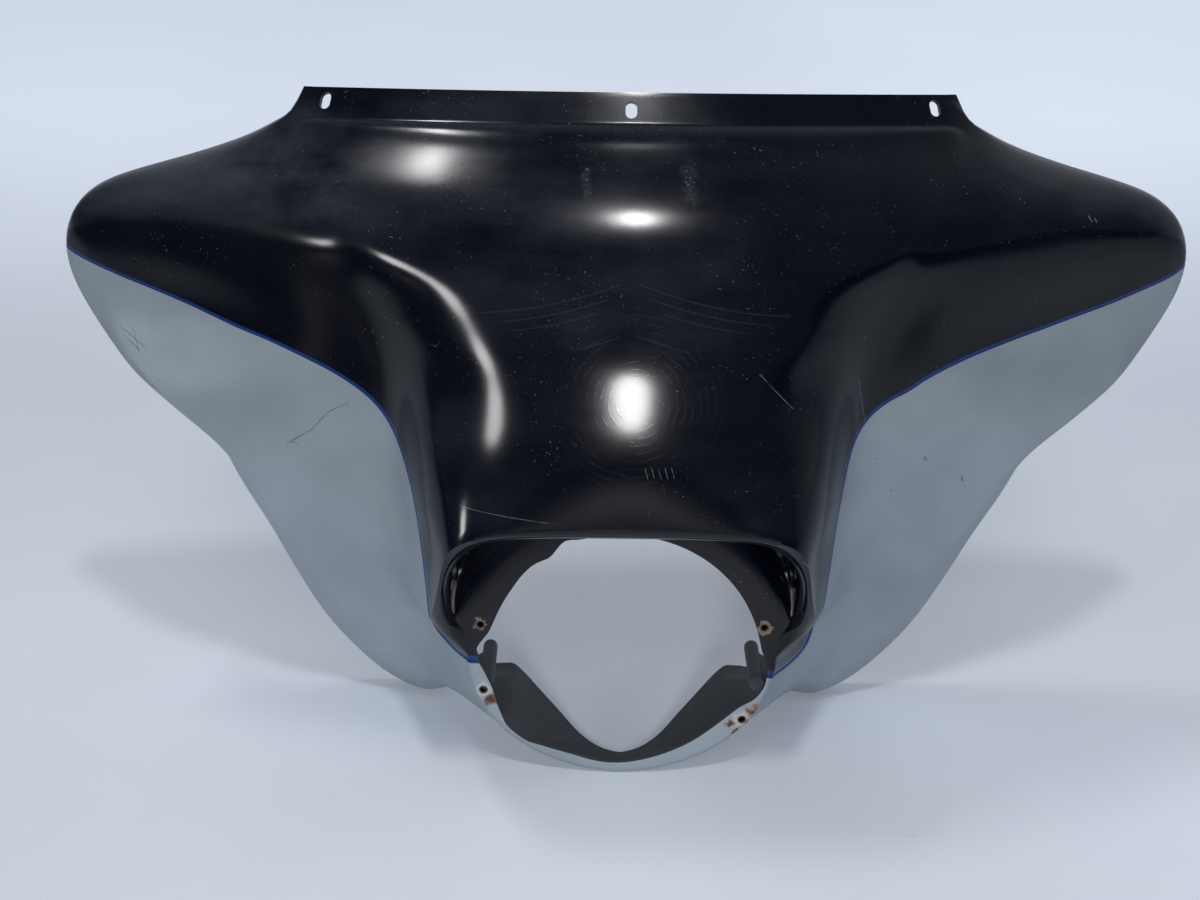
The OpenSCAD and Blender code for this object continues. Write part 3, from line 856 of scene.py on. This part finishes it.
def paint_material(colours):
    """Two-tone paint with the stripe between, dust, swirls, a painted glint round the nose
    highlight, scratches and rust.
    """
    material = bpy.data.materials.new("two_tone_paint")
    n = Nodes(material)
    at = n.axes(n.coord)
    side = n.attribute("paint_line")  # metres from the paint line, silver side positive
    silver = n.ramp(side, -0.00015, 0.00015)
    off_stripe = n.math("SUBTRACT", n.math("ABSOLUTE", side), n.attribute("stripe_half"))
    stripe = n.ramp(off_stripe, -0.00018, 0.00018, 1.0, 0.0)
    wear = wear_masks(n, at, silver)
    # The rings are partly polishing swirls and partly a painted glint round the nose highlight.
    rings, pin = swirl_rings_painted_glint(n), pinstripe(n, at)

    black = colours.black
    for mask, strength, tint in (
        (wear["haze"], 0.14, (0.1, 0.12, 0.155)),
        (wear["speck"], 0.45, (0.26, 0.27, 0.28)),
        (wear["hair"], 0.1, (0.2, 0.21, 0.23)),
        # Painted glint: faint lighter rings round the nose highlight.
        (rings, 0.045, (0.3, 0.31, 0.33)),
        (pin, 0.05, (0.2, 0.22, 0.26)),
    ):
        black = n.blend(n.times(mask, strength), black, tint)
    flakes = n.plus(n.times(n.noise(1500, 3, 0.6), 0.4), n.times(n.noise(14, 4, 0.5), 0.6))
    low, high = ([c * k for c in colours.silver] for k in (0.9, 1.08))
    satin = n.blend(n.ramp(flakes, 0.35, 0.65), low, high)
    satin = n.blend(n.times(wear["hair"], 0.25), satin, (0.14, 0.15, 0.16))
    base = n.blend(silver, black, satin)
    base = n.blend(stripe, base, colours.blue)
    for name, strength, tint in (
        ("cut", 0.3, (0.36, 0.37, 0.38)),
        ("dark", 0.6, (0.05, 0.055, 0.06)),
        ("scuff", 0.3, (0.4, 0.41, 0.43)),
    ):
        base = n.blend(n.times(wear[name], strength), base, tint)

    # Round each insert: bare primer, then rust and dirt.
    rough_edge = n.math("SUBTRACT", n.noise(190, 4, 0.65), 0.5)
    stains = []
    for name, angle, radius in INSERTS:
        centre, size = insert_point(angle, radius), BARE_RINGS[name]
        away = n.plus(n.distance(centre), n.times(rough_edge, 0.013))
        tint = colours.primer if name.startswith("lower") else (0.2, 0.15, 0.1)
        base = n.blend(n.ramp(away, size - 0.0005, size + 0.0004, 1.0, 0.0), base, tint)
        for x, z, spread, orange in STAINS.get(name, []):
            off = n.plus(n.distance(centre + Vector((x, 0, z))), n.times(rough_edge, 0.02))
            stain = n.ramp(off, 0.001, spread, 0.95, 0.0)
            rust = [c * k for c, k in zip(colours.rust, (0.3, 0.3, 0.5))]
            if orange:
                rust = n.blend(n.ramp(stain, 0.35, 0.9), colours.rust, rust)
            base = n.blend(stain, base, rust)
            stains.append(stain)

    dull = n.plus(wear["haze"], n.either([wear["cut"], wear["scuff"]]))
    rough = n.plus(0.14, n.times(dull, 0.06))
    rough = n.plus(n.times(rough, n.math("SUBTRACT", 1.0, silver)), n.times(silver, 0.54))
    rough = n.math("ADD", rough, n.times(n.either(stains), 0.4), clamp=True)
    peel = n.noise(260, 2, 0.5)
    height = n.plus(n.times(peel, 0.05), n.times(n.either([rings, pin]), 0.07))
    n.shader(
        Base_Color=base,
        Roughness=rough,
        Metallic=n.times(silver, 0.5),
        IOR=1.42,
        Normal=n.bump(height, 0.12, 0.0006),
    )
    return material


def plastic_material(colours):
    """Raw moulded plastic of the inside, with flow marks, overspray and dust."""
    material = bpy.data.materials.new("raw_plastic")
    n = Nodes(material)
    cloud = n.noise(22, 5, 0.6)
    grain = n.noise(700, 3, 0.6)
    dust = n.ramp(n.noise(60, 5, 0.7), 0.5, 0.75)
    low, high = ([c * k for c in colours.plastic] for k in (0.75, 1.35))
    base = n.blend(n.ramp(cloud, 0.3, 0.7), low, high)
    n.shader(
        Base_Color=n.blend(n.times(dust, 0.2), base, (0.14, 0.145, 0.15)),
        Roughness=n.plus(0.42, n.times(cloud, 0.2)),
        IOR=1.48,
        Normal=n.bump(n.plus(grain, n.times(cloud, 0.6)), 0.35, 0.0004),
    )
    return material


def insert_material(colours):
    """Dull plated metal of the thread inserts, stained brown, near black down the bores: painted
    shade, with some dirt.
    """
    material = bpy.data.materials.new("insert_metal")
    n = Nodes(material)
    stain = n.ramp(n.noise(420, 4, 0.65), 0.4, 0.62)
    base = n.blend(stain, colours.metal, (0.1, 0.05, 0.025))
    bore_shade_and_dirt = []
    for _, angle, radius in INSERTS:
        x, _, z = polar(radius, angle, 0)
        bore_shade_and_dirt.append(n.ramp(n.flat_distance((x, z)), 0.00195, 0.0023, 1.0, 0.0))
    n.shader(
        # Painted shade, with some dirt: near black inside the bores.
        Base_Color=n.blend(n.either(bore_shade_and_dirt), base, (0.004, 0.003, 0.003)),
        Roughness=n.plus(0.34, n.times(stain, 0.35)),
        Metallic=n.math("SUBTRACT", 0.9, n.times(stain, 0.6)),
        Normal=n.bump(n.noise(1500, 3), 0.4, 0.0002),
    )
    return material


def floor_material(colours):
    """Pale sheet with faint scuffs: dark out in front to all but the camera, a painted dark
    reflection, and paler far behind.
    """
    material = bpy.data.materials.new("studio_floor")
    n = Nodes(material)
    at = n.axes(n.coord)
    wide = n.noise(1.6, 4, 0.55)
    mark = n.noise(9, 6, 0.7, stretch=(1.0, 7.0, 1.0), turn=(0, 0, 0.7))
    mark = n.times(n.ramp(mark, 0.66, 0.7), n.ramp(n.noise(5, 3), 0.5, 0.62))
    low, high = ([min(1, c * k) for c in colours.floor] for k in (0.95, 1.04))
    tone = n.blend(n.ramp(wide, 0.3, 0.7), low, high)
    tone = n.blend(n.times(mark, 0.25), tone, (0.4, 0.43, 0.47))
    # Painted dark reflection: out in front the floor is near black to every ray but the camera's,
    # so the paint mirrors a dark room there.
    light = n.add("ShaderNodeLightPath").outputs
    front = n.plus(at["Y"], n.times(at["X"], 0.26))
    pale = n.either([n.ramp(front, -0.5, -0.26), light["Is Camera Ray"]])
    tone = n.blend(pale, (0.05, 0.055, 0.06), tone)

    # A glow that stands in for the light of a larger room. It is left out near the back of the
    # fairing, a painted shadow on the floor there, and is stronger to the right, painted light.
    behind = n.ramp(at["Y"], 0.35, 2.0, 0.0, 0.55)
    # Painted shadow: no glow on the floor just behind the fairing. Painted light: more glow on the
    # right side.
    shade = n.ramp(n.distance((0, 0.45, 0)), 0.25, 0.5, 0.0, 0.13)
    shade = n.plus(shade, n.ramp(at["X"], 0.15, 0.6, 0.0, 0.07))
    ahead = n.plus(n.ramp(at["Y"], -4.0, -1.6, 0.55, 0.0), shade)
    seen = n.either([light["Is Camera Ray"], light["Is Glossy Ray"], light["Is Transmission Ray"]])
    n.shader(
        Base_Color=tone,
        Roughness=n.plus(0.45, n.times(wide, 0.1)),
        Emission_Color=(0.6, 0.65, 0.75),
        Emission_Strength=n.plus(n.times(seen, behind), n.times(light["Is Camera Ray"], ahead)),
    )
    return material


def studio_world():
    """Soft room light, dim on one side and lighter on the other, with a pale view behind."""
    world = bpy.data.worlds.new("studio")
    n = Nodes(world, "ShaderNodeOutputWorld")
    at = n.axes(n.add("ShaderNodeTexCoord").outputs["Generated"])
    room = n.add("ShaderNodeValToRGB")
    n.link(n.plus(n.times(at["X"], 0.6), at["Y"]), room.inputs["Fac"])
    stops = room.color_ramp.elements
    stops[0].position, stops[0].color = 0.0, (0.1, 0.11, 0.13, 1)
    stops[1].position, stops[1].color = 0.75, (0.38, 0.41, 0.46, 1)
    camera = n.add("ShaderNodeLightPath").outputs["Is Camera Ray"]
    shade = n.add("ShaderNodeBackground")
    n.link(n.blend(camera, room.outputs["Color"], (0.62, 0.68, 0.78)), shade.inputs["Color"])
    shade.inputs["Strength"].default_value = 1.0
    n.link(shade.outputs["Background"], n.out.inputs["Surface"])
    return world


# ---- Pieces ----

# Paint line on one half of the front view, [x, z] in millimetres, from the wing tip to the chin.
PAINT_LINE = {
    1: [
        (430, 379), (411, 371), (397, 364), (380, 358), (346, 347), (305, 338), (268, 331),
        (238, 324), (214, 314), (197, 303), (184, 296), (170, 284), (159.5, 267), (154, 243),
        (150, 211), (146, 170), (145, 130), (146, 104), (143, 88), (136, 80), (125, 80),
        (110, 85), (96, 86), (60, 86),
    ],
    -1: [
        (430, 382), (411, 375), (398, 370), (375, 362), (352, 355), (311, 344), (279, 335),
        (251, 329), (225, 321), (203, 311), (184, 298), (171, 284), (160, 266), (148, 233),
        (141, 189), (139, 150), (141, 118), (141, 101), (136, 95), (126, 93), (114, 95),
        (100, 95), (60, 95),
    ],
}


def paint_marks(piece, sizes):
    """Writes how far each point is from the paint line, and half the stripe's width there."""
    mesh = piece.data
    co = np.zeros(len(mesh.vertices) * 3)
    mesh.vertices.foreach_get("co", co)
    co = co.reshape(-1, 3) * 1000
    line_value = np.zeros(len(co))
    for side in (1, -1):
        knots = [[i, list(p)] for i, p in enumerate(PAINT_LINE[side])]
        line = np.array([curve(knots, t) for t in np.linspace(0, len(knots) - 1, 220)])
        here = co[:, 0] * side >= 0
        line_value[here] = nearest(np.stack([abs(co[here, 0]), co[here, 2]], 1), line)
    flat = np.stack([abs(co[:, 0]), co[:, 2]], 1)
    # The stripe is wider at its low end, by the chin.
    low = np.clip((112 - flat[:, 1]) / 14, 0, 1) * np.clip((150 - flat[:, 0]) / 6, 0, 1)
    half = sizes.stripe * 500 * (1 + 1.3 * low)
    for name, values in (("paint_line", -line_value / 1000), ("stripe_half", half / 1000)):
        layer = mesh.attributes.new(name, "FLOAT", "POINT")
        layer.data.foreach_set("value", values.astype(np.float32))


def cutters():
    """Closed solids for the three screen slots and the four insert pockets."""
    loop, segments = [], 24
    for k in range(segments):
        u = 2 * math.pi * k / segments
        straight = SLOT_HALF if math.sin(u) >= 0 else -SLOT_HALF
        loop.append((SLOT_R * math.cos(u), SLOT_R * math.sin(u) + straight))
    pieces = []
    for x, down in SLOTS:
        verts = [(a / 1000, b / 1000, c / 1000) for b in (-SLOT_DEPTH, SLOT_DEPTH) for a, c in loop]
        piece = new_object(f"slot_cutter_{len(pieces)}", prism_mesh("slot_cutter", verts))
        at = flange_top(x) - down * FLANGE_DIR
        turn = Matrix.Rotation(math.atan(2 * FLANGE_BOW * x), 4, "Z")
        turn = turn @ Matrix.Rotation(math.radians(-FLANGE_TILT), 4, "X")
        piece.matrix_world = Matrix.Translation(place(at)) @ turn
        pieces.append(piece)
    for name, angle, radius in INSERTS:
        profile = [(0, -0.003), (PIT_R, -0.003), (PIT_R, PIT_END), (0, PIT_END)]
        piece = new_object(f"pocket_cutter_{name}", tube_mesh("pocket", profile))
        piece.matrix_world = Matrix.Translation(insert_point(angle, radius))
        pieces.append(piece)
    return pieces


def shell_piece(sizes, colours):
    """The whole moulding as one smooth closed surface."""
    outer, inner = shell_grid(sizes)
    rays, stations = outer.shape[:2]
    count = rays * stations
    faces, raw = [], []
    for i in range(rays):
        a0, b0 = i * stations, ((i + 1) % rays) * stations
        for j in range(stations - 1):
            a, b = a0 + j, b0 + j
            faces.append((a, b, b + 1, a + 1))
            raw.append(0)
            faces.append((a + count, a + 1 + count, b + 1 + count, b + count))
            raw.append(1)
        faces.append((a0, a0 + count, b0 + count, b0))
        a, b = a0 + stations - 1, b0 + stations - 1
        faces.append((a, b, b + count, a + count))
        raw += [1, 0]
    mesh = bpy.data.meshes.new("fairing_shell")
    verts = np.concatenate([outer.reshape(-1, 3), inner.reshape(-1, 3)])
    mesh.from_pydata(verts.tolist(), [], faces)
    mesh.update()
    mesh.materials.append(paint_material(colours))
    mesh.materials.append(plastic_material(colours))
    mesh.polygons.foreach_set("material_index", raw)
    mesh.polygons.foreach_set("use_smooth", [True] * len(faces))
    crease = mesh.attributes.new("crease_edge", "FLOAT", "EDGE")
    for edge in mesh.edges:
        p, q = edge.vertices
        station = p % count % stations
        if (p >= count) != (q >= count) or station != q % count % stations:
            continue
        ray = min(p % count // stations, rays - p % count // stations)
        if station in (0, stations - 1):
            crease.data[edge.index].value = EDGE_CREASE
        elif station == N_IN:
            crease.data[edge.index].value = RIM_CREASE
        elif station == N_IN + N_MID + N_FAR + N_STEP and ray < N_FLANGE:
            crease.data[edge.index].value = STEP_CREASE

    # The corners at the two ends of the flange stay sharp.
    sharp = mesh.attributes.new("crease_vert", "FLOAT", "POINT")
    for i in (N_FLANGE - 1, N_FLANGE, rays - N_FLANGE + 1, rays - N_FLANGE):
        for part in (0, count):
            sharp.data[part + i * stations + stations - 1].value = 1.0
    piece = new_object("fairing_shell", mesh)
    smooth = piece.modifiers.new("surface", "SUBSURF")
    smooth.levels = smooth.render_levels = sizes.refine
    tools = cutters()
    for tool in tools:
        cut = piece.modifiers.new(tool.name, "BOOLEAN")
        cut.object, cut.operation, cut.solver = tool, "DIFFERENCE", "MANIFOLD"
    bpy.context.view_layer.update()
    applied(piece)
    for tool in tools:
        bpy.data.objects.remove(tool)
    piece.data.set_sharp_from_angle(angle=math.radians(50))
    paint_marks(piece, sizes)
    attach(piece, "root")
    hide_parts("shell")


def finish_plastic(piece):
    piece.data.materials.append(bpy.data.materials["raw_plastic"])
    piece.data.polygons.foreach_set("use_smooth", [True] * len(piece.data.polygons))
    piece.data.set_sharp_from_angle(angle=math.radians(40))
    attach(piece, "root")


def backing_pieces():
    """Bosses behind the inserts, and the two rear posts with their webs."""
    pit = PIT_R + 0.00002
    boss = [(0, BORE_END), (BORE_R, BORE_END), (BORE_R, PIT_END), (pit, PIT_END), (pit, BOSS_START),
            (BOSS_R, BOSS_START), (BOSS_R, BOSS_END - BOSS_BEVEL), (BOSS_R - BOSS_BEVEL, BOSS_END),
            (0, BOSS_END)]
    for name, angle, radius in INSERTS:
        piece = new_object(f"insert_boss_{name}", tube_mesh("boss", boss))
        piece.matrix_world = Matrix.Translation(insert_point(angle, radius))
        finish_plastic(piece)

    post = [(0, 0.001), (POST_R, 0.001)]
    for t in range(0, 90, 10):
        u = math.radians(t)
        post.append((POST_R * math.cos(u), POST_END - POST_R + POST_R * math.sin(u)))
    post.append((0, POST_END))
    for name, angle, radius in POSTS:
        piece = new_object(f"rear_post_{name}", tube_mesh("post", post))
        piece.matrix_world = Matrix.Translation(place(polar(radius, angle, SEAT_Y)))
        finish_plastic(piece)

        # The web runs from the post's side down to the chin: depth behind the seat and radius.
        r = chin_r(abs(angle))
        outline = [(2, radius), (2, r - 3), (6, r - 1.8), (30, r + 14), (46, radius)]
        tangent = polar(1, angle + 90, 0) - polar(0, 0, 0)
        verts = [
            place(polar(out, angle, SEAT_Y + depth) + tangent * t)
            for t in (-WEB_HALF, WEB_HALF)
            for depth, out in outline
        ]
        web = new_object(f"post_web_{name}", prism_mesh("web", verts))
        bevel = web.modifiers.new("edge", "BEVEL")
        bevel.width, bevel.segments = 0.0008, 2
        applied(web)
        finish_plastic(web)


# ---- Stage ----

# Name, place, what it points at, width and height in metres, and power in watts.
LAMPS = [
    ("front_lamp", (0.06, -2.2, 0.78), (0, 0, 0.33), 0.36, 0.54, 20),
    ("left_lamp", (-1.72, -1.5, 0.46), (-0.1, 0, 0.33), 0.36, 0.38, 6.5),
    ("ceiling_middle", (0.07, -0.95, 2.44), (0, 0, 0.4), 0.16, 0.3, 12),
    ("ceiling_left", (-0.8, 0.12, 2.35), (-0.1, 0, 0.4), 0.6, 0.06, 9),
]
CAMERA_AT = (-0.02445, -1.1412, 0.7966)
CAMERA_TURN = (25.32, 0.315, 0.815)  # down, right and rolled, in degrees
LENS, SENSOR = 53.18, 36


def lay_floor(colours):
    mesh = bpy.data.meshes.new("floor")
    mesh.from_pydata([(-6, -6, 0), (6, -6, 0), (6, 8, 0), (-6, 8, 0)], [], [(0, 1, 2, 3)])
    mesh.materials.append(floor_material(colours))
    floor = new_object("floor", mesh)
    floor.location.z = LOW.z


def hang_lamps():
    for name, spot, aim, width, height, power in LAMPS:
        light = bpy.data.lights.new(name, "AREA")
        light.shape, light.size, light.size_y, light.energy = "ELLIPSE", width, height, power
        lamp = new_object(name, light)
        lamp.location = spot
        lamp.rotation_euler = (Vector(aim) - Vector(spot)).to_track_quat("-Z", "Y").to_euler()


def set_camera(scene):
    data = bpy.data.cameras.new("camera")
    data.sensor_width, data.lens = SENSOR, LENS
    camera = new_object("camera", data)
    pitch, yaw, roll = (math.radians(v) for v in CAMERA_TURN)
    level = Vector((math.sin(yaw), math.cos(yaw), 0))
    ahead = level * math.cos(pitch) - Vector((0, 0, math.sin(pitch)))
    right = Vector((math.cos(yaw), -math.sin(yaw), 0))
    above = right.cross(ahead)
    x = right * math.cos(roll) + above * math.sin(roll)
    y = above * math.cos(roll) - right * math.sin(roll)
    rows = Matrix((x, y, -ahead)).transposed().to_4x4()
    camera.matrix_world = Matrix.Translation(CAMERA_AT) @ rows
    scene.camera = camera


# ---- Operators, one for each piece or group of like pieces ----


class FAIRING_OT_shell(Operator):
    """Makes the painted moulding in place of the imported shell."""

    bl_idname = "fairing.shell"
    bl_label = "Moulded shell"

    def execute(self, context):
        shell_piece(context.scene.fairing_sizes, context.scene.fairing_colours)
        return {"FINISHED"}


class FAIRING_OT_backing(Operator):
    """Makes the bosses and posts behind the lamp seat."""

    bl_idname = "fairing.backing"
    bl_label = "Bosses and rear posts"

    def execute(self, context):
        backing_pieces()
        return {"FINISHED"}


class FAIRING_OT_inserts(Operator):
    """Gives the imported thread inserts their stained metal."""

    bl_idname = "fairing.inserts"
    bl_label = "Thread inserts"

    def execute(self, context):
        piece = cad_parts["screw_inserts"]
        piece.data.materials.clear()
        piece.data.materials.append(insert_material(context.scene.fairing_colours))
        return {"FINISHED"}


class FAIRING_OT_stage(Operator):
    """Lays the pale floor, hangs the soft lamps and sets the camera."""

    bl_idname = "fairing.stage"
    bl_label = "Floor, lamps and camera"

    def execute(self, context):
        scene = context.scene
        scene.view_settings.view_transform = "Standard"
        lay_floor(scene.fairing_colours)
        scene.world = studio_world()
        hang_lamps()
        set_camera(scene)
        return {"FINISHED"}


class FAIRING_PT_panel(Panel):
    """Sizes, colours and steps of the fairing."""

    bl_label = "Fairing"
    bl_idname = "FAIRING_PT_panel"
    bl_space_type = "VIEW_3D"
    bl_region_type = "UI"
    bl_category = "Fairing"

    def draw(self, context):
        for group in (context.scene.fairing_sizes, context.scene.fairing_colours):
            for name in group.__annotations__:
                self.layout.prop(group, name)
        for step in STEPS:
            self.layout.operator(step.bl_idname)


STEPS = (FAIRING_OT_stage, FAIRING_OT_shell, FAIRING_OT_backing, FAIRING_OT_inserts)
CLASSES = (FairingSizes, FairingColours, *STEPS, FAIRING_PT_panel)


def register():
    for item in CLASSES:
        bpy.utils.register_class(item)
    bpy.types.Scene.fairing_sizes = PointerProperty(type=FairingSizes)
    bpy.types.Scene.fairing_colours = PointerProperty(type=FairingColours)


def unregister():
    del bpy.types.Scene.fairing_sizes, bpy.types.Scene.fairing_colours
    for item in reversed(CLASSES):
        bpy.utils.unregister_class(item)


def main():
    register()
    bpy.ops.fairing.stage()
    bpy.ops.fairing.shell()
    bpy.ops.fairing.backing()
    bpy.ops.fairing.inserts()


if __name__ == "__main__":
    main()
